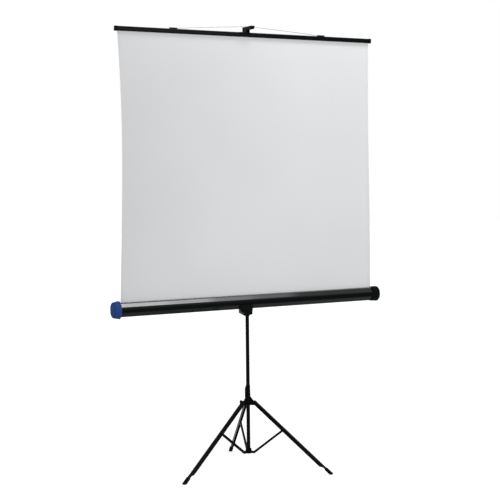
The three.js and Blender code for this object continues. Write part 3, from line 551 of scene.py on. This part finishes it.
tin_patchiness = 0.15
tin_edge = 0.001
rolling_grain = 0.00004

tin = Finish("roller_tin")
tin_stains = tin.noise(scale=22, detail=4).band(low=0.35, high=0.7)
tin.set(
    Base_Color=tin.blend(tin_stains, tin_light, tin_dark),
    Metallic=1.0,
    Roughness=tin_dullness + tin.noise(scale=60) * tin_patchiness,
)
rolled = tin.noise(scale=500, stretch=(0.06, 1, 1))
tin.relief(rolled, rolling_grain, strength=0.5, normal=tin.round_edges(tin_edge))
dress(tin, "hem_rod", "roller_tube")

rod_low, rod_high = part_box("hem_rod")
rod_radius = (rod_high.z - rod_low.z) / 2
rod_half = (rod_high.x - rod_low.x) / 2
hem_slack = 0.00003
hem_thickness = 0.0002
hem_sides = 48
hem_inside = rod_radius + hem_slack
hem_outside = hem_inside + hem_thickness
hem_profile = [
    (hem_inside, -rod_half),
    (hem_outside, -rod_half),
    (hem_outside, rod_half),
    (hem_inside, rod_half),
]
hem = smooth_outward(
    turned("cloth_hem", hem_profile, hem_sides, middle_of(rod_low, rod_high), "X")
)
dressed(hem, screen_fabric, "extension", "white_cloth")

# Case: an eight-sided steel tube with a slot on top, in glossy black enamel.
# The gloss is full on the faces that look up and thin on those below, with a faint wave in it and
# specks of dust. The topmost faces are painted a paler grey, partly as settled dust and partly as
# painted light.
enamel_black = (0.0008, 0.002, 0.0022)
enamel_dust = (0.02, 0.021, 0.021)
# Paler grey of the topmost faces: settled dust and painted light together.
enamel_top_dust_and_light = (0.08, 0.08, 0.08)
enamel_gloss = 0.03
enamel_dullness = 0.3
enamel_patchiness = 0.1
speck_share = 0.2
speck_dullness = 0.3
top_dust_and_light_least, top_dust_and_light_spread = 0.8, 0.4
underside_coat = 0.25
enamel_coat_dullness = 0.1
enamel_coat_index = 1.3
enamel_edge = 0.001
enamel_wave = 0.00005

enamel = Finish("gloss_black")
specks = enamel.noise(scale=420, detail=3, roughness=0.7).band(low=0.62, high=0.8) * speck_share
upward = enamel.facing("Z")
top_dust_and_light_patches = top_dust_and_light_least + enamel.noise(scale=12, detail=3) * top_dust_and_light_spread
# Painted light: faces that look up are made paler, partly as settled dust and partly as a painted
# highlight on the case's top.
top_dust_and_light = upward.band(low=0.7, high=0.8) * top_dust_and_light_patches
speckled = enamel.blend(specks, enamel_black, enamel_dust)
enamel_patches = enamel.noise(scale=5, detail=3) * enamel_patchiness
underside = 1 - upward.band(low=-0.65, high=-0.35)
enamel.set(
    Base_Color=enamel.blend(top_dust_and_light, speckled, enamel_top_dust_and_light),
    Roughness=enamel_dullness + enamel_patches + specks * speck_dullness,
    Specular_IOR_Level=enamel_gloss,
    Coat_Weight=upward.band(low=0.2, high=0.6) + underside * underside_coat,
    Coat_Roughness=enamel_coat_dullness,
    Coat_IOR=enamel_coat_index,
)
faint_wave = enamel.noise(scale=60)
enamel.relief(faint_wave, enamel_wave, strength=0.25, normal=enamel.round_edges(enamel_edge))
dress(enamel, "case_tube")

# End caps: moulded covers that flare out from the case; the left one is dark blue, the right one
# black. The blue one has a fine mould grain, and is paler where it is rubbed.
blue_face = (0.02, 0.062, 0.23)
blue_edge = (0.055, 0.09, 0.3)
blue_gloss = 0.02
blue_dullness = 0.34
blue_patchiness = 0.12
blue_edge_share, blue_patch_share = 0.6, 0.2
blue_round = 0.004
blue_grain = 0.00006

blue_nylon = Finish("blue_plastic")
blue_patches = blue_nylon.noise(scale=18, detail=3).band(low=0.45, high=0.75)
blue_rubbed = blue_nylon.worn_edges(blue_round) * blue_edge_share
blue_nylon.set(
    Base_Color=blue_nylon.blend(
        blue_rubbed + blue_patches * blue_patch_share, blue_face, blue_edge
    ),
    Roughness=blue_dullness + blue_nylon.noise(scale=25, detail=3) * blue_patchiness,
    Specular_IOR_Level=blue_gloss,
)
mould_grain = blue_nylon.noise(scale=1600)
blue_nylon.relief(
    mould_grain, blue_grain, strength=0.5, normal=blue_nylon.round_edges(blue_round)
)
dress(blue_nylon, "end_cap_left")
dress(nylon, "end_cap_right")

# Roller: a rolled tin tube on nylon plugs, wound by a torsion spring on a fixed rod.
# What is left of the cloth lies on it in two turns, drawn here as one wound sheet.
dress(nylon, "roller_plug_left", "roller_plug_right")
dress(zinc, "spring_rod")

roll_low, roll_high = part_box("fabric_roll")
tube_low, tube_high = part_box("roller_tube")
roll_middle = middle_of(roll_low, roll_high)
tube_radius = (tube_high.z - tube_low.z) / 2
roll_radius = (roll_high.z - roll_low.z) / 2
roll_turns = 2
roll_thickness = 0.0005
roll_slack = 0.0002
turn_sides = 96
roll_columns = 7


def wound(name, inner, outer, thickness, turns, half_width, centre):
    """A closed strip on a spiral whose radius grows evenly from inner to outer."""
    angle = np.linspace(0, 2 * np.pi * turns, turn_sides * turns + 1)
    radius = np.linspace(inner, outer, len(angle))
    near = np.stack([radius * np.cos(angle), radius * np.sin(angle)], -1)
    far = near * ((radius + thickness) / radius)[:, None]
    section = np.concatenate([near, far[::-1]])
    width = np.linspace(-half_width, half_width, roll_columns)
    points = np.stack(
        [
            np.repeat(width[:, None], len(section), 1),
            np.repeat(section[None, :, 0], len(width), 0),
            np.repeat(section[None, :, 1], len(width), 0),
        ],
        -1,
    )
    count, half = len(section), len(angle)
    step = np.arange(half - 1)
    cap = np.stack([step, step + 1, count - 2 - step, count - 1 - step], -1)
    far_cap = cap[:, ::-1] + count * (len(width) - 1)
    faces = [grid_faces(len(width), count, False, True), cap, far_cap]
    return mesh_of(name, points + np.array(centre), np.concatenate(faces))


roll = smooth_outward(
    wound(
        "wound_cloth",
        tube_radius + roll_slack,
        roll_radius - roll_thickness,
        roll_thickness,
        roll_turns,
        cloth_width / 2,
        roll_middle,
    )
)
dressed(roll, screen_fabric, "roller", "white_cloth", "fabric_roll")

spring_low, spring_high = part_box("torsion_spring")
spring_middle = middle_of(spring_low, spring_high)
spring_wire = 0.0011
spring_coil = (spring_high.z - spring_low.z) / 2 - spring_wire
spring_turns = 90
coil_sides = 20
wire_sides = 6
spring_reach = spring_high.x - spring_low.x - 2 * spring_wire


def coiled(name, coil, wire_radius, turns, reach, centre):
    """A round wire carried along a helix: a circle in the plane of the radius and the axis."""
    angle = np.linspace(0, 2 * np.pi * turns, coil_sides * turns + 1)[:, None]
    round_wire = np.linspace(0, 2 * np.pi, wire_sides, endpoint=False)[None, :]
    radius = coil + wire_radius * np.cos(round_wire)
    along = (angle / (2 * np.pi * turns) - 0.5) * reach + wire_radius * np.sin(round_wire)
    points = np.stack([along, radius * np.cos(angle), radius * np.sin(angle)], -1)
    faces = grid_faces(len(angle), wire_sides, False, True)
    ends = np.array([[0, 1, 2, 3], [0, 3, 4, 5]])
    last = ends[:, ::-1] + (len(angle) - 1) * wire_sides
    return mesh_of(name, points + np.array(centre), np.concatenate([faces, ends, last]))


spring = smooth_outward(
    coiled("torsion_coil", spring_coil, spring_wire, spring_turns, spring_reach, spring_middle),
    angle=60,
)
dressed(spring, zinc, "mast", "bright_steel", "torsion_spring")

# Saddle: a black moulding clamped on the mast; its lip carries the case, and a bolt holds the
# pivot plate. The plate and the bolt are zinc-plated steel.
dress(nylon, "saddle_bracket")
dress(zinc, "case_back_plate", "case_pivot_bolt")

# Floor and room: a wide pale floor and a white surround, as in a photo studio.
# The floor shows almost white and keeps a soft shadow of the tripod.
floor_half = 30.0
floor_near, floor_far = 1.0, 6.0
floor_grey = (0.8, 0.8, 0.8)
floor_glow = 0.78

floor_ends = np.array([-floor_half, floor_half])
floor_x, floor_y = np.meshgrid(floor_ends, floor_ends)
floor_points = np.stack([floor_x, floor_y, np.zeros((2, 2))], -1)
floor = mesh_of("studio_floor", floor_points, grid_faces(2, 2))
floor_paint = Finish("studio_floor_paint")
away = floor_paint.node(
    "ShaderNodeVectorMath", {"operation": "LENGTH"}, {0: floor_paint.place}, "Value"
)
floor_paint.set(
    Base_Color=(*floor_grey, 1),
    Roughness=0.9,
    Specular_IOR_Level=0.0,
    Emission_Color=floor_paint.blend(away.band(floor_near, floor_far), floor_grey, (1, 1, 1)),
    Emission_Strength=floor_paint.shown() * floor_glow,
)
floor.data.materials.append(floor_paint.material)

room = bpy.data.worlds.new("studio_surround")
bpy.context.scene.world = room
room.use_nodes = True
room_level = 0.46
room_nodes = Nodes(room.node_tree)
room_nodes.feed(
    room_nodes.tree.nodes["Background"],
    {
        "Color": (1, 1, 1, 1),
        "Strength": room_nodes.shown() * (1 - room_level) + room_level,
    },
)

# Lights: one large soft lamp before the screen to the right, and five strips in a row above the
# case, dimmer from left to right. The strips are what the case's upper facet mirrors.
softbox_place = (1.2, -5.4, 2.5)
softbox_target = (0.0, 0.0, 1.6)
softbox_size = (3.0, 3.0)
softbox_radiance = 4.4
strip_radiances = (25.0, 20.0, 15.0, 6.5, 3.5)
strip_start = 0.1
strip_width, strip_depth = 0.45, 0.45
strip_y, strip_height = -0.8, 4.6
nearly_upright = 0.95


def lamp(name, place, target, size, radiance):
    """A rectangular soft lamp of the given width and depth that looks at the target."""
    data = bpy.data.lights.new(name, "AREA")
    data.shape = "RECTANGLE"
    data.size, data.size_y = size
    data.energy = radiance * math.pi * size[0] * size[1]
    made = bpy.data.objects.new(name, data)
    bpy.context.scene.collection.objects.link(made)
    back = np.array(place, float) - np.array(target, float)
    back /= np.linalg.norm(back)
    looks_down = abs(back[2]) > nearly_upright
    side = np.cross((0.0, 1.0, 0.0) if looks_down else (0.0, 0.0, 1.0), back)
    side /= np.linalg.norm(side)
    turn = np.eye(4)
    turn[:3, 0], turn[:3, 1], turn[:3, 2] = side, np.cross(back, side), back
    turn[:3, 3] = place
    made.matrix_world = Matrix(turn.tolist())
    return made


lamp("front_softbox", softbox_place, softbox_target, softbox_size, softbox_radiance)
for step, radiance in enumerate(strip_radiances):
    middle = strip_start + (step + 0.5) * strip_width
    above, below = (middle, strip_y, strip_height), (middle, strip_y, 0)
    lamp("facet_strip_%d" % (step + 1), above, below, (strip_width, strip_depth), radiance)

# Camera: 7.9 m from the mast and 1.9 m up, to the left of the screen's middle line. The lens is
# long, and the camera is turned by about half a degree round its own axis.
mast_low, mast_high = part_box("main_tube")
mast_y = (mast_low.y + mast_high.y) / 2
camera_bearing = math.radians(28.5)
camera_distance = 7.911
camera_offset = 0.0223
camera_height = 1.9137
camera_dip = 0.061
camera_turn = -0.0102
focal_pixels = 1231
image_pixels = 500
sensor_width = 36.0

ahead = np.array([math.sin(camera_bearing), math.cos(camera_bearing), 0])
right = np.array([math.cos(camera_bearing), -math.sin(camera_bearing), 0])
upright = np.array([0, 0, 1.0])
view = ahead * math.cos(camera_dip) - upright * math.sin(camera_dip)
over = upright * math.cos(camera_dip) + ahead * math.sin(camera_dip)
turned_right = right * math.cos(camera_turn) + over * math.sin(camera_turn)
turned_over = over * math.cos(camera_turn) - right * math.sin(camera_turn)
stand_point = -camera_distance * ahead + camera_offset * right + (0, mast_y, camera_height)

camera_data = bpy.data.cameras.new("camera")
camera_data.sensor_width = sensor_width
camera_data.lens = focal_pixels / image_pixels * sensor_width
camera = bpy.data.objects.new("camera", camera_data)
bpy.context.scene.collection.objects.link(camera)
pose = np.eye(4)
pose[:3, 0], pose[:3, 1], pose[:3, 2], pose[:3, 3] = turned_right, turned_over, -view, stand_point
camera.matrix_world = Matrix(pose.tolist())
bpy.context.scene.camera = camera
bpy.context.scene.view_settings.view_transform = "Standard"
